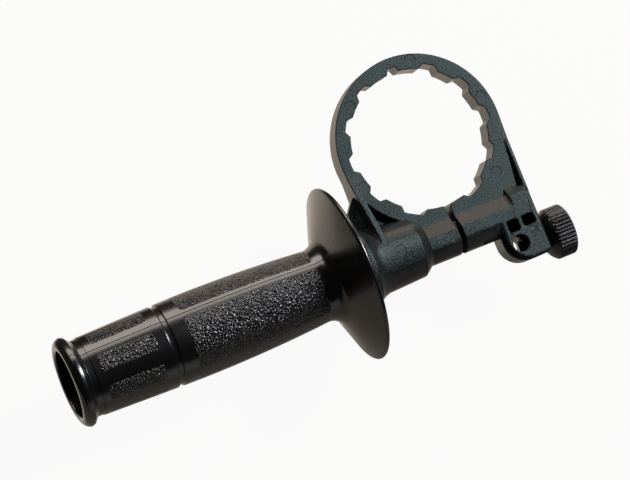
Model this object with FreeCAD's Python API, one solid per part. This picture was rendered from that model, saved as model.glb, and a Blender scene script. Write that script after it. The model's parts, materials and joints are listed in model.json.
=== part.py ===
import FreeCAD, Part
import os
from math import cos, sin, radians, degrees, asin, sqrt, pi

os.makedirs("parts", exist_ok=True)

Vec = FreeCAD.Vector

# driving dimensions, mm
# Frame: origin at the centre of the clamp bore, Z along the bore, X along the grip
# toward the thumb screw, Y from the grip axis toward the ring.

# clamp ring
bore_r = 28.25
notch_depth = 2.1
ring_wall = 6.25
ring_w = 10.0
notch_count = 12
notch_mouth = 16.2
notch_root = 9.4
top_notch_mouth = 10.6
top_notch_root = 6.0
slit_land = 33.2
notch_side = 3.2
slit_w = 1.9
slit_lead = 1.0

# where the grip axis runs
axis_drop = 39.0

# barrel that carries the clamp screw, from the grip side to the block
barrel_over_flat = 0.75
barrel_step_r = 12.5
barrel_base_r = 13.3
flare_r = 16.2
flare_len = 5.6
seat_len = 2.0
base_start = -33.8
step_start = -17.8
step_len = 3.8

# how far parts of one moulding run into each other
join = 1.0

# front and back of the jaws
jaw_half = 8.9
slope_rise = 5.35
slope_top = 5.8

# block at the far jaw
block_x0 = 16.4
block_x1 = 32.8
block_drop = 21.6
block_corner = 9.0
block_heel = 2.2
edge_round = 1.4
raised_x0 = 24.1
raised_top = 4.55
raised_slope = 3.5

# square pockets in the block
pocket_gap = 4.35
pocket_a_x = 21.05
pocket_a_w = 4.95
pocket_a_h = 5.0
pocket_b_x = 27.9
pocket_b_w = 5.3
pocket_b_h = 4.4
pocket_round = 0.9
pocket_floor = 1.6

# hole for the depth rod, and the thumb screw that holds the rod
rod_x = 21.4
rod_drop = 14.4
rod_r = 3.45
thumb_drop = 15.4
thumb_r = 2.5
thumb_reach = 1.9
thumb_tip_chamfer = 0.8
thumb_sink = 8.0
insert_wall = 1.2
rod_insert_len = 7.0

# knob of the thumb screw
knob_gap = 1.0
knob_r = 10.45
knob_hub_r = 5.6
knob_cone = 2.6
knob_len = 10.6
knob_ridges = 40
ridge_depth = 0.45
knob_chamfer = 0.9
knob_dish = 1.2
knob_dish_r = 7.4

# arms between the ring and the barrel
arm_lean = 1.6
gusset_lean = 2.0
gusset_t = 2.3
gusset_start = 6.0
gusset_half = 12.0
gusset_full = 9.0
web_start = 12.0
pocket_start = 16.8
pocket_inset = 0.3
web_t = 3.0
web_reach = 3.7
web_rise = 21.8
fin_t = 1.3
fin_start = 12.4
recess_w = 2.0

# grip, measured from its open end
grip_end = -166.6
mouth_r = 13.6
lip_round = 1.2
bead_r = 18.2
bead_len = 6.2
bead_face = 2.6
neck_r = 15.5
neck_len = 2.5
short_r0 = 15.85
short_r1 = 16.65
short_len = 31.4
groove_w = 1.7
groove_depth = 0.7
long_r0 = 16.75
long_r1 = 16.6
long_r2 = 14.85
long_len = 62.6
cavity_taper = 1.4
floor_round = 1.5

# hand guard
guard_r = 35.8
guard_x = -48.0
guard_edge = 1.5
guard_root_r = 19.0
guard_dish = 7.1
guard_t = 2.4
guard_round = 0.7

# hub in front of the grip, where the clamp screw is held
hub_r = 13.4
hub_back = 34.0
hub_round = 0.8
hub_fillet = 3.2

# clamp screw, its nut insert and the thrust washer
screw_r = 4.0
screw_len = 85.0
screw_tip = 15.0
head_af = 13.0
head_t = 5.3
head_crown = 0.2
washer_t = 1.6
washer_r = 14.0
nut_r = 6.0
nut_len = 11.0
nut_from_slit = 2.6
running_gap = 0.05
screw_gap = 0.45
head_gap = 0.12
seat_gap = 0.05

# grain panels on the grip
panel_sink = 0.22
panel_round = 2.2
parting_angle = 32.0
short_panels = 8
short_panel_angle = 25.0
short_panel_start = 2.9
short_panel_end = 5.0
long_panels = 4
long_panel_angle = 78.0
long_panel_turn = 1.5
long_panel_start = 6.3
long_panel_over = 0.8

# sizes that follow
barrel_r = jaw_half + barrel_over_flat
root_r = bore_r + notch_depth
ring_r = bore_r + ring_wall
ring_half = ring_w / 2
axis_y = -axis_drop
seat_x = base_start - flare_len - seat_len
washer_x = seat_x - seat_gap - washer_t
hub_x = washer_x - seat_gap
block_y = axis_y - block_drop
thumb_y = axis_y - thumb_drop
rod_y = axis_y - rod_drop
knob_x = block_x1 + knob_gap
tip_x = rod_x + rod_r - thumb_reach
screw_head_x = screw_tip - screw_len
neck_x = grip_end + bead_len
short_x = neck_x + neck_len
groove_x = short_x + short_len
long_x = groove_x + groove_w
root_x = long_x + long_len
long_mid = long_len / 2
reach = flare_r + join


def face_of(edges):
    return Part.Face(Part.Wire(edges))


def line(a, b):
    return Part.makeLine(a, b)


def arc(a, b, c):
    return Part.Arc(a, b, c).toShape()


def polygon(points):
    return Part.Face(Part.makePolygon(points + [points[0]]))


def polar(r, angle, z=0.0):
    return Vec(r * cos(radians(angle)), r * sin(radians(angle)), z)


def along_axis(x, r):
    return Vec(x, axis_y + r, 0)


def turned(face):
    return face.revolve(Vec(0, axis_y, 0), Vec(1, 0, 0), 360)


def rod_along_x(r, x0, x1, y):
    return Part.makeCylinder(r, x1 - x0, Vec(x0, y, 0), Vec(1, 0, 0))


def plate(face, half):
    face.translate(Vec(0, 0, -half))
    return face.extrude(Vec(0, 0, 2 * half))


def rounded_box(xc, yc, w, h, z0, z1, r):
    box = Part.makeBox(w, h, z1 - z0, Vec(xc - w / 2, yc - h / 2, z0))
    upright = []
    for e in box.Edges:
        if abs(e.Vertexes[0].Point.z - e.Vertexes[1].Point.z) > 1e-6:
            upright.append(e)
    return box.makeFillet(r, upright)


# clamp bore with its rotation notches
def notch_spans():
    spans = []
    step = 360.0 / notch_count
    for k in range(notch_count):
        centre = 270.0 + k * step
        if k == 0:
            continue
        mouth = notch_mouth / 2
        root = notch_root / 2
        if abs(centre - 450.0) < 1:
            mouth = top_notch_mouth / 2
            root = top_notch_root / 2
        a = [centre - mouth, centre - root, centre + root, centre + mouth]
        if k == 1:
            a[0] = 270.0 + slit_land / 2
            a[1] = a[0] + notch_side
        if k == notch_count - 1:
            a[3] = 270.0 + 360.0 - slit_land / 2
            a[2] = a[3] - notch_side
        spans.append(a)
    return spans


def bore_face():
    edges = []
    spans = notch_spans()
    last = spans[-1][3] - 360.0
    for a in spans:
        edges.append(arc(polar(bore_r, last), polar(bore_r, (last + a[0]) / 2), polar(bore_r, a[0])))
        edges.append(line(polar(bore_r, a[0]), polar(root_r, a[1])))
        edges.append(arc(polar(root_r, a[1]), polar(root_r, (a[1] + a[2]) / 2), polar(root_r, a[2])))
        edges.append(line(polar(root_r, a[2]), polar(bore_r, a[3])))
        last = a[3]
    return face_of(edges)


# ring plate with its two arms
def ring_plate():
    right = ring_r - arm_lean
    left = -ring_r + gusset_lean
    bottom = axis_y
    edges = [
        arc(Vec(ring_r, 0, 0), Vec(0, ring_r, 0), Vec(-ring_r, 0, 0)),
        line(Vec(-ring_r, 0, 0), Vec(left, bottom, 0)),
        line(Vec(left, bottom, 0), Vec(right, bottom, 0)),
        line(Vec(right, bottom, 0), Vec(ring_r, 0, 0)),
    ]
    return plate(face_of(edges), ring_half)


# jaws: a round barrel cut flat front and back, with a sloped web up to the plate
def jaw_section():
    flat_low = axis_y - sqrt(barrel_r ** 2 - jaw_half ** 2)
    slope_low = axis_y + slope_top - slope_rise
    slope_high = axis_y + slope_top
    edges = []
    for side in (1, -1):
        a = Vec(0, flat_low, side * jaw_half)
        b = Vec(0, slope_low, side * jaw_half)
        c = Vec(0, slope_high, side * ring_half)
        edges.append(line(a, b))
        edges.append(line(b, c))
    edges.append(line(Vec(0, slope_high, ring_half), Vec(0, slope_high, -ring_half)))
    edges.append(arc(Vec(0, flat_low, jaw_half), Vec(0, axis_y - barrel_r, 0), Vec(0, flat_low, -jaw_half)))
    return Part.Face(Part.Wire(Part.__sortEdges__(edges)))


def jaws():
    section = jaw_section()
    section.translate(Vec(step_start, 0, 0))
    return section.extrude(Vec(raised_x0 + join - step_start, 0, 0))


def barrel_base():
    x_flare = seat_x + seat_len
    pts = [
        along_axis(seat_x, 0),
        along_axis(seat_x, flare_r),
        along_axis(x_flare, flare_r),
    ]
    mid = along_axis(x_flare + flare_len * 0.45, barrel_base_r + (flare_r - barrel_base_r) * 0.34)
    rest = [
        along_axis(base_start, barrel_base_r),
        along_axis(step_start, barrel_step_r),
        along_axis(step_start + step_len, barrel_r),
        along_axis(step_start + step_len, 0),
    ]
    edges = [
        line(pts[0], pts[1]),
        line(pts[1], pts[2]),
        arc(pts[2], mid, rest[0]),
        line(rest[0], rest[1]),
        line(rest[1], rest[2]),
        line(rest[2], rest[3]),
        line(rest[3], pts[0]),
    ]
    return turned(face_of(edges))


# gusset wall on the grip side, widening from the ring to the barrel
def gusset():
    y_top = -gusset_start
    y_low = axis_y + barrel_base_r / 3
    y_full = axis_y + gusset_full
    x_far = -ring_r - join
    lean = gusset_lean / axis_drop

    def wall_x(y):
        return -ring_r - lean * y

    outline = polygon([
        Vec(wall_x(0), 0, 0),
        Vec(wall_x(y_low), y_low, 0),
        Vec(wall_x(y_low) + gusset_t, y_low, 0),
        Vec(wall_x(0) + gusset_t, 0, 0),
    ])
    wall = plate(outline, gusset_half)
    flank = polygon([
        Vec(x_far, join, -ring_half),
        Vec(x_far, y_top, -ring_half),
        Vec(x_far, y_full, -gusset_half),
        Vec(x_far, y_low - join, -gusset_half),
        Vec(x_far, y_low - join, gusset_half),
        Vec(x_far, y_full, gusset_half),
        Vec(x_far, y_top, ring_half),
        Vec(x_far, join, ring_half),
    ])
    return wall.common(flank.extrude(Vec(gusset_lean + gusset_t + 2 * join, 0, 0)))


def rear_web():
    x_wall = -ring_r + gusset_t
    x_out = seat_x + seat_len + join
    web = polygon([
        Vec(x_wall, -web_start, 0),
        Vec(-ring_r + gusset_t / 10, -web_start, 0),
        Vec(-ring_r - web_reach, axis_y + web_rise, 0),
        Vec(x_out, axis_y + flare_r - join, 0),
        Vec(x_wall, axis_y + barrel_base_r - 2 * join, 0),
    ])
    return plate(web, web_t / 2)


# block that holds the depth rod and the thumb screw
def block():
    top = axis_y - join
    c = block_corner
    h = block_heel
    k = sqrt(0.5)
    edges = [
        line(Vec(block_x0, top, 0), Vec(block_x0, block_y + c, 0)),
        arc(Vec(block_x0, block_y + c, 0), Vec(block_x0 + c - c * k, block_y + c - c * k, 0),
            Vec(block_x0 + c, block_y, 0)),
        line(Vec(block_x0 + c, block_y, 0), Vec(block_x1 - h, block_y, 0)),
        arc(Vec(block_x1 - h, block_y, 0), Vec(block_x1 - h + h * k, block_y + h - h * k, 0),
            Vec(block_x1, block_y + h, 0)),
        line(Vec(block_x1, block_y + h, 0), Vec(block_x1, top, 0)),
        line(Vec(block_x1, top, 0), Vec(block_x0, top, 0)),
    ]
    body = plate(face_of(edges), jaw_half)
    rim = []
    for e in body.Edges:
        box = e.BoundBox
        flat = box.ZLength < 1e-6 and abs(abs(box.ZMin) - jaw_half) < 1e-6
        if flat and box.YMin < top - 1e-3:
            rim.append(e)
    return body.makeFillet(edge_round, rim)


def raised_section():
    y0 = axis_y - join
    y1 = axis_y + raised_top
    y2 = y1 + raised_slope
    pts = [
        Vec(0, y0, -jaw_half),
        Vec(0, y1, -jaw_half),
        Vec(0, y2, -ring_half),
        Vec(0, y2, ring_half),
        Vec(0, y1, jaw_half),
        Vec(0, y0, jaw_half),
    ]
    return polygon(pts)


def raised_part():
    section = raised_section()
    section.translate(Vec(raised_x0, 0, 0))
    body = section.extrude(Vec(block_x1 - raised_x0, 0, 0))
    rim = []
    for e in body.Edges:
        box = e.BoundBox
        on_side = abs(box.XMin - block_x1) < 1e-6 and box.XLength < 1e-6
        if on_side and abs(abs(box.Center.z) - jaw_half) < 1e-6:
            rim.append(e)
    return body.makeFillet(edge_round, rim)


# thin fin on the outer arm and the narrow recess beside it
def arm_x(y):
    return ring_r + arm_lean * y / axis_drop


def outer_fin():
    y_low = axis_y + raised_top - join
    fin = polygon([
        Vec(0, -fin_start, ring_half - join),
        Vec(0, -fin_start, ring_half),
        Vec(0, y_low, jaw_half - edge_round),
        Vec(0, y_low, ring_half - join),
    ])
    fin.translate(Vec(arm_x(y_low) - fin_t, 0, 0))
    front = fin.extrude(Vec(fin_t + join, 0, 0))
    back = front.mirror(Vec(0, 0, 0), Vec(0, 0, 1))
    keep = polygon([
        Vec(arm_x(0) - fin_t - 2 * join, 0, 0),
        Vec(arm_x(0), 0, 0),
        Vec(arm_x(axis_y), axis_y, 0),
        Vec(arm_x(axis_y) - fin_t - 2 * join, axis_y, 0),
    ])
    keep = plate(keep, reach)
    return [front.common(keep), back.common(keep)]


def arm_recess():
    y_top = -fin_start
    y_low = axis_y + raised_top + raised_slope - edge_round / 2
    cuts = []
    outline = [
        Vec(arm_x(y_top) - fin_t - recess_w / 10, y_top, 0),
        Vec(arm_x(y_low) - fin_t - recess_w, y_low, 0),
        Vec(arm_x(y_low) - fin_t, y_low, 0),
        Vec(arm_x(y_top) - fin_t, y_top, 0),
    ]
    for side in (1, -1):
        face = polygon(outline)
        face.translate(Vec(0, 0, side * web_t / 2))
        cuts.append(face.extrude(Vec(0, 0, side * reach)))
    return cuts


# triangular pocket between the ring, the gusset and the barrel
def side_pockets():
    inner = -ring_r + gusset_t
    lean = gusset_lean / axis_drop
    y_top = -pocket_start
    y_low = axis_y + barrel_step_r - 1.5 * join
    ring_side = ring_r - pocket_inset
    a_low = 180.0 + degrees(asin(-y_low / ring_side))
    a_top = 180.0 + degrees(asin(-y_top / ring_r))
    cuts = []
    for side in (1, -1):
        start = Vec(inner - lean * y_top, y_top, 0)
        end = Vec(inner - lean * y_low, y_low, 0)
        top_in = polar(ring_r, a_top)
        low_in = polar(ring_side, a_low)
        edges = [
            line(start, end),
            line(end, low_in),
            arc(low_in, polar(ring_r - pocket_inset / 2, (a_low + a_top) / 2), top_in),
            line(top_in, start),
        ]
        face = face_of(edges)
        face.translate(Vec(0, 0, side * web_t / 2))
        cuts.append(face.extrude(Vec(0, 0, side * reach)))
    return cuts


def collar():
    body = ring_plate()
    solids = [jaws(), barrel_base(), gusset(), rear_web(), block(), raised_part()]
    solids.extend(outer_fin())
    body = body.fuse(solids)

    bore = plate(bore_face(), reach)
    slit_low = axis_y - reach
    slit = Part.makeBox(slit_w, -slit_low, 2 * reach, Vec(-slit_w / 2, slit_low, -reach))
    lead_y = -bore_r - slit_lead
    lead = polygon([
        Vec(-slit_w / 2 - slit_lead, -bore_r + slit_lead / 2, 0),
        Vec(-slit_w / 2, lead_y, 0),
        Vec(slit_w / 2, lead_y, 0),
        Vec(slit_w / 2 + slit_lead, -bore_r + slit_lead / 2, 0),
    ])
    cuts = [bore, slit, plate(lead, reach)]

    # recesses beside the ring keep clear of the barrel
    keep_barrel = barrel_base()
    for c in side_pockets():
        cuts.append(c.cut(keep_barrel))
    cuts.extend(arm_recess())

    for side in (1, -1):
        z0, z1 = sorted((side * pocket_floor, side * (jaw_half + join)))
        ya = axis_y - pocket_gap - pocket_a_h / 2
        yb = axis_y - pocket_gap - pocket_b_h / 2
        cuts.append(rounded_box(pocket_a_x, ya, pocket_a_w, pocket_a_h, z0, z1, pocket_round))
        cuts.append(rounded_box(pocket_b_x, yb, pocket_b_w, pocket_b_h, z0, z1, pocket_round))

    rod = Part.makeCylinder(rod_r, 2 * reach, Vec(rod_x, rod_y, -reach), Vec(0, 0, 1))
    cuts.append(rod)

    nut_x0 = slit_w / 2 + nut_from_slit
    cuts.append(rod_along_x(screw_r + screw_gap, seat_x - join, nut_x0 + join, axis_y))
    cuts.append(rod_along_x(nut_r, nut_x0, nut_x0 + nut_len, axis_y))
    cuts.append(rod_along_x(screw_r + screw_gap, nut_x0, screw_tip + 2 * join, axis_y))

    insert_x = block_x1 - rod_insert_len
    cuts.append(rod_along_x(thumb_r + insert_wall, insert_x, block_x1 + join, thumb_y))
    cuts.append(rod_along_x(thumb_r + screw_gap, rod_x, insert_x + join, thumb_y))
    return body.cut(cuts).removeSplitter()


# grip with its guard: one hollow moulding
def grip_profile():
    mid_bead = along_axis(grip_end + bead_face * 0.35, bead_r - bead_face * 0.42)
    crown = along_axis(grip_end + bead_len * 0.47, bead_r)
    crown_end = along_axis(grip_end + bead_len * 0.66, bead_r - bead_face * 0.13)
    bead_out = along_axis(grip_end + bead_len * 0.86, (bead_r + neck_r) / 2 - bead_face * 0.19)
    long_mid_x = long_x + long_mid
    trumpet_x = guard_x - guard_dish
    foot_x = trumpet_x + guard_t * 0.9
    edges = []

    def add(*pts):
        if len(pts) == 2:
            edges.append(line(pts[0], pts[1]))
        else:
            edges.append(arc(pts[0], pts[1], pts[2]))

    lip = along_axis(grip_end, mouth_r + lip_round)
    lip_in = along_axis(grip_end + lip_round / 1.5, mouth_r)
    lip_mid = along_axis(grip_end + lip_round / 6, mouth_r + lip_round * 0.35)
    outer_lip = along_axis(grip_end, bead_r - bead_face)
    neck_a = along_axis(neck_x, neck_r)
    neck_b = along_axis(short_x, neck_r)
    short_a = along_axis(short_x, short_r0)
    short_b = along_axis(groove_x, short_r1)
    groove_a = along_axis(groove_x + groove_w / 11, short_r1 - groove_depth)
    groove_b = along_axis(long_x - groove_w / 11, short_r1 - groove_depth)
    long_a = along_axis(long_x, long_r0)
    long_b = along_axis(long_mid_x, long_r1)
    long_c = along_axis(root_x, long_r2)
    trumpet_mid = along_axis(root_x + (trumpet_x - root_x) * 0.66, long_r2 + (guard_root_r - long_r2) * 0.28)
    trumpet = along_axis(trumpet_x, guard_root_r)
    dish_mid = along_axis(guard_x - guard_dish * 0.59, guard_root_r + (guard_r - guard_root_r) * 0.4)
    rim_low = along_axis(guard_x, guard_r - guard_round * 0.4)
    rim_a = along_axis(guard_x + guard_round * 0.4, guard_r)
    rim_b = along_axis(guard_x + guard_edge - guard_round * 0.7, guard_r)
    rim_mid = along_axis(guard_x + guard_edge - guard_round * 0.2, guard_r - guard_round * 0.25)
    rim_c = along_axis(guard_x + guard_edge, guard_r - guard_round)
    front_out = along_axis(guard_x + guard_edge, guard_r - guard_round * 1.86)
    front_mid_r = guard_root_r + (guard_r - guard_root_r) * 0.36
    front_mid = along_axis(guard_x - guard_dish * 0.625 + guard_t, front_mid_r)
    front_in = along_axis(foot_x, hub_r + hub_fillet)
    hub_foot_mid = along_axis(foot_x + hub_fillet * 0.11, hub_r + hub_fillet * 0.28)
    hub_foot = along_axis(foot_x + hub_fillet * 0.81, hub_r)
    hub_edge = along_axis(hub_x - hub_round, hub_r)
    hub_face = along_axis(hub_x, hub_r - hub_round)

    add(lip_in, lip_mid, lip)
    add(lip, outer_lip)
    add(outer_lip, mid_bead, crown)
    add(crown, crown_end)
    add(crown_end, bead_out, neck_a)
    add(neck_a, neck_b)
    add(neck_b, short_a)
    add(short_a, short_b)
    add(short_b, groove_a)
    add(groove_a, groove_b)
    add(groove_b, long_a)
    add(long_a, long_b, long_c)
    add(long_c, trumpet_mid, trumpet)
    add(trumpet, dish_mid, rim_low)
    add(rim_low, rim_a)
    add(rim_a, rim_b)
    add(rim_b, rim_mid, rim_c)
    add(rim_c, front_out)
    add(front_out, front_mid, front_in)
    add(front_in, hub_foot_mid, hub_foot)
    add(hub_foot, hub_edge)
    add(hub_edge, hub_face)

    # back along the inside: screw bore, then the long cavity
    bore_wall = screw_r + running_gap
    floor_x = hub_x - hub_back
    cavity_r = mouth_r - cavity_taper
    add(hub_face, along_axis(hub_x, bore_wall))
    add(along_axis(hub_x, bore_wall), along_axis(floor_x, bore_wall))
    floor_a = along_axis(floor_x, cavity_r - floor_round)
    floor_mid = along_axis(floor_x - floor_round * 0.3, cavity_r - floor_round * 0.3)
    floor_b = along_axis(floor_x - floor_round, cavity_r)
    add(along_axis(floor_x, bore_wall), floor_a)
    add(floor_a, floor_mid, floor_b)
    add(floor_b, lip_in)
    return face_of(edges)


def short_r(x):
    return short_r0 + (short_r1 - short_r0) * (x - short_x) / short_len


def long_curve():
    a, b, c = Vec(long_x, long_r0, 0), Vec(long_x + long_mid, long_r1, 0), Vec(root_x, long_r2, 0)
    return arc(a, b, c).Curve


def long_r(x):
    curve = long_curve()
    return curve.Center.y + sqrt(curve.Radius ** 2 - (x - curve.Center.x) ** 2)


def skin(x0, x1, r_at):
    # layer of the grip's outside between two stations, panel_sink deep, open outward
    stations = [x0, (x0 + x1) / 2, x1]
    a, b, c = [along_axis(x, r_at(x) - panel_sink) for x in stations]
    low = arc(a, b, c) if r_at is long_r else line(a, c)
    out = Vec(0, bead_r - long_r2, 0)
    return turned(face_of([low, line(c, c + out), line(c + out, a + out), line(a + out, a)]))


def panel_tool(x0, x1, r_at, span, corner):
    # plan of one panel, as wide everywhere as its angle asks, drawn up through the skin
    half = sin(radians(span / 2))
    plan = []
    for x in (x0, (x0 + x1) / 2, x1):
        plan.append(Vec(x, r_at(x) * half, join))
    sides = []
    for way in (1, -1):
        a, b, c = [Vec(p.x, axis_y + way * p.y, join) for p in plan]
        sides.append([a, b, c])
    (a, b, c), (d, e, f) = sides
    if r_at is long_r:
        edges = [arc(a, b, c), line(c, f), arc(f, e, d), line(d, a)]
    else:
        edges = [line(a, c), line(c, f), line(f, d), line(d, a)]
    tool = face_of(edges).extrude(Vec(0, 0, guard_r))
    upright = []
    for e in tool.Edges:
        if abs(e.Vertexes[0].Point.z - e.Vertexes[1].Point.z) > join:
            upright.append(e)
    return tool.makeFillet(corner, upright)


def panel_cuts(x0, x1, r_at, count, span, corner, phase):
    layer = skin(x0 - join, x1 + join, r_at)
    pattern = panel_tool(x0, x1, r_at, span, corner)
    cuts = []
    for k in range(count):
        tool = pattern.copy()
        tool.rotate(Vec(0, axis_y, 0), Vec(1, 0, 0), -(phase + k * 360.0 / count))
        cuts.append(layer.common(tool))
    return cuts


def grip():
    body = turned(grip_profile())
    hex_pocket = hex_prism(head_af / 2 + head_gap, hub_x - hub_back - join, screw_head_x)
    cuts = [hex_pocket]
    short_phase = parting_angle - 180.0 / short_panels
    long_phase = parting_angle - 180.0 / long_panels - long_panel_turn
    cuts.extend(panel_cuts(short_x + short_panel_start, groove_x - short_panel_end, short_r, short_panels,
                           short_panel_angle, panel_round * 0.7, short_phase))
    cuts.extend(panel_cuts(long_x + long_panel_start, root_x + long_panel_over, long_r, long_panels,
                           long_panel_angle, panel_round, long_phase))
    return body.cut(cuts)


def hex_prism(half_flat, x0, x1):
    r = half_flat / cos(radians(30))
    pts = []
    for k in range(6):
        a = radians(60 * k + 30)
        pts.append(Vec(x0, axis_y + r * cos(a), r * sin(a)))
    return polygon(pts).extrude(Vec(x1 - x0, 0, 0))


# clamp screw
def clamp_screw():
    head = hex_prism(head_af / 2, screw_head_x - head_t, screw_head_x)
    shank = [
        line(along_axis(screw_head_x - head_t / 10, 0), along_axis(screw_head_x - head_t / 10, screw_r)),
        line(along_axis(screw_head_x - head_t / 10, screw_r), along_axis(screw_tip - join, screw_r)),
        line(along_axis(screw_tip - join, screw_r), along_axis(screw_tip, screw_r - join)),
        line(along_axis(screw_tip, screw_r - join), along_axis(screw_tip, 0)),
        line(along_axis(screw_tip, 0), along_axis(screw_head_x - head_t / 10, 0)),
    ]
    top_cone = Part.makeCone(head_af / 2 - head_crown, head_af / 2 + head_t, head_t + head_crown,
                             Vec(screw_head_x - head_t, axis_y, 0), Vec(1, 0, 0))
    head = head.common(top_cone)
    return head.fuse(turned(face_of(shank)))


def washer():
    outer = rod_along_x(washer_r, washer_x, washer_x + washer_t, axis_y)
    inner = rod_along_x(screw_r + 2 * running_gap, washer_x - join, seat_x + join, axis_y)
    return outer.cut(inner)


def nut_insert():
    x0 = slit_w / 2 + nut_from_slit
    outer = rod_along_x(nut_r, x0, x0 + nut_len, axis_y)
    inner = rod_along_x(screw_r + running_gap, x0 - join, x0 + nut_len + join, axis_y)
    return outer.cut(inner)


def rod_insert():
    x0 = block_x1 - rod_insert_len
    outer = rod_along_x(thumb_r + insert_wall, x0, block_x1, thumb_y)
    inner = rod_along_x(thumb_r + running_gap, x0 - join, block_x1 + join, thumb_y)
    return outer.cut(inner)


# thumb screw
def thumb_stud():
    end = knob_x + thumb_sink
    c = thumb_tip_chamfer

    def at(x, r):
        return Vec(x, thumb_y + r, 0)

    edges = [
        line(at(tip_x, 0), at(tip_x, thumb_r - c)),
        line(at(tip_x, thumb_r - c), at(tip_x + c, thumb_r)),
        line(at(tip_x + c, thumb_r), at(end, thumb_r)),
        line(at(end, thumb_r), at(end, 0)),
        line(at(end, 0), at(tip_x, 0)),
    ]
    return face_of(edges).revolve(Vec(0, thumb_y, 0), Vec(1, 0, 0), 360)


def knob_ring():
    edges = []
    step = 360.0 / knob_ridges
    low = knob_r - ridge_depth
    for k in range(knob_ridges):
        a = k * step
        p0 = polar(low, a)
        p1 = polar(knob_r, a + step * 0.28)
        p2 = polar(knob_r, a + step * 0.62)
        p3 = polar(low, a + step * 0.9)
        p4 = polar(low, a + step)
        edges.append(line(p0, p1))
        edges.append(arc(p1, polar(knob_r, a + step * 0.45), p2))
        edges.append(line(p2, p3))
        edges.append(line(p3, p4))
    face = face_of(edges)
    face.rotate(Vec(0, 0, 0), Vec(0, 1, 0), 90)
    face.translate(Vec(knob_x, thumb_y, 0))
    return face.extrude(Vec(knob_len, 0, 0))


def knob():
    def at(x, r):
        return Vec(x, thumb_y + r, 0)

    end = knob_x + knob_len
    c = knob_chamfer
    over = ridge_depth / 2
    wide = knob_r + over
    shoulder = at(knob_x + knob_cone, knob_r - ridge_depth - running_gap)
    shoulder_x = knob_x + knob_cone + knob_chamfer * 0.78
    edges = [
        line(at(knob_x, 0), at(knob_x, knob_hub_r)),
        arc(at(knob_x, knob_hub_r), at(knob_x + knob_cone * 0.45, knob_hub_r + (knob_r - knob_hub_r) * 0.61),
            shoulder),
        line(shoulder, at(shoulder_x, wide)),
        line(at(shoulder_x, wide), at(end - c, wide)),
        line(at(end - c, wide), at(end, wide - c - over)),
        line(at(end, wide - c - over), at(end, knob_dish_r)),
        arc(at(end, knob_dish_r), at(end - knob_dish * 0.7, knob_dish_r * 0.72), at(end - knob_dish, 0)),
        line(at(end - knob_dish, 0), at(knob_x, 0)),
    ]
    form = face_of(edges).revolve(Vec(0, thumb_y, 0), Vec(1, 0, 0), 360)
    body = knob_ring().common(form)
    socket = rod_along_x(thumb_r + running_gap, knob_x - join, knob_x + thumb_sink + 4 * running_gap, thumb_y)
    return body.cut(socket)


nodes = {
    "collar": collar(),
    "nut_insert": nut_insert(),
    "rod_insert": rod_insert(),
    "thrust_washer": washer(),
    "grip": grip(),
    "clamp_screw": clamp_screw(),
    "thumb_stud": thumb_stud(),
    "thumb_knob": knob(),
}

for name, shape in nodes.items():
    solid = shape.Solids[0]
    print(name, len(shape.Solids), shape.isValid(), "volume %.0f" % solid.Volume)
    solid.exportStep("parts/%s.step" % name)
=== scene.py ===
import bpy
import json
from math import radians, sin, cos, atan2, hypot, pi
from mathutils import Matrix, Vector

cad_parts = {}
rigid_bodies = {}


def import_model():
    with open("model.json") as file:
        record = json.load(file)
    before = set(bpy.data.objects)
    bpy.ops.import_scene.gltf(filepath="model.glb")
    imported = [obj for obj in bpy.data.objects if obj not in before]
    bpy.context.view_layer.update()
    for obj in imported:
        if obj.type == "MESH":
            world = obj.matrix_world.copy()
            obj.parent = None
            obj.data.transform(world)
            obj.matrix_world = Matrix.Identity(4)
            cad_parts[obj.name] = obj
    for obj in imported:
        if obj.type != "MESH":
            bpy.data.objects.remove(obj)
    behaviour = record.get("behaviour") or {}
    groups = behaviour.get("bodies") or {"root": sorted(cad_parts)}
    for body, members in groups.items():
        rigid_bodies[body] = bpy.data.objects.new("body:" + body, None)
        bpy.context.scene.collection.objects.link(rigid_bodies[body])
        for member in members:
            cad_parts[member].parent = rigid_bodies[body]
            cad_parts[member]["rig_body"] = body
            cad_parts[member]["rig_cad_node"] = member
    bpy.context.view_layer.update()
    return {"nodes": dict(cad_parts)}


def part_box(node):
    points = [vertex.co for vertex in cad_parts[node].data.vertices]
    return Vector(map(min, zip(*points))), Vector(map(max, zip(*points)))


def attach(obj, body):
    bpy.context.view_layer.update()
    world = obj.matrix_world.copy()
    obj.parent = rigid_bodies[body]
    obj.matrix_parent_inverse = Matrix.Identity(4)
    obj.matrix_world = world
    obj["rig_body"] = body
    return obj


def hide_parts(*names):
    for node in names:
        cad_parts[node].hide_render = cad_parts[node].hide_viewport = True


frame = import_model()

mm = 0.001
axisY = -39.0  # height of the grip's axis in the part's frame, mm
thumbY = -54.4  # and of the thumb screw's axis
noiseLow, noiseHigh = 0.3, 0.7  # most of a noise's values lie between these


# small helpers: picking, finishing, drawing and turning
def letGo():
    if bpy.context.object and bpy.context.object.mode != 'OBJECT':
        bpy.ops.object.mode_set(mode='OBJECT')
    bpy.ops.object.select_all(action='DESELECT')


def pick(piece):
    letGo()
    piece.select_set(True)
    bpy.context.view_layer.objects.active = piece


def openMesh(piece):
    pick(piece)
    bpy.ops.object.mode_set(mode='EDIT')
    bpy.ops.mesh.select_mode(type='VERT')
    bpy.ops.mesh.select_all(action='SELECT')


def closeMesh():
    bpy.ops.object.mode_set(mode='OBJECT')


def finishWith(piece, kind, **settings):
    pick(piece)
    modifier = piece.modifiers.new(kind.title(), kind)
    for name, value in settings.items():
        setattr(modifier, name, value)
    bpy.ops.object.modifier_apply(modifier=modifier.name)


def settle(piece, smoothAngle=30):
    # the mesh takes up the place, so the object itself sits at the origin
    pick(piece)
    bpy.ops.object.transform_apply(location=True, rotation=True, scale=True)
    bpy.ops.object.shade_smooth_by_angle(angle=radians(smoothAngle))


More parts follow.
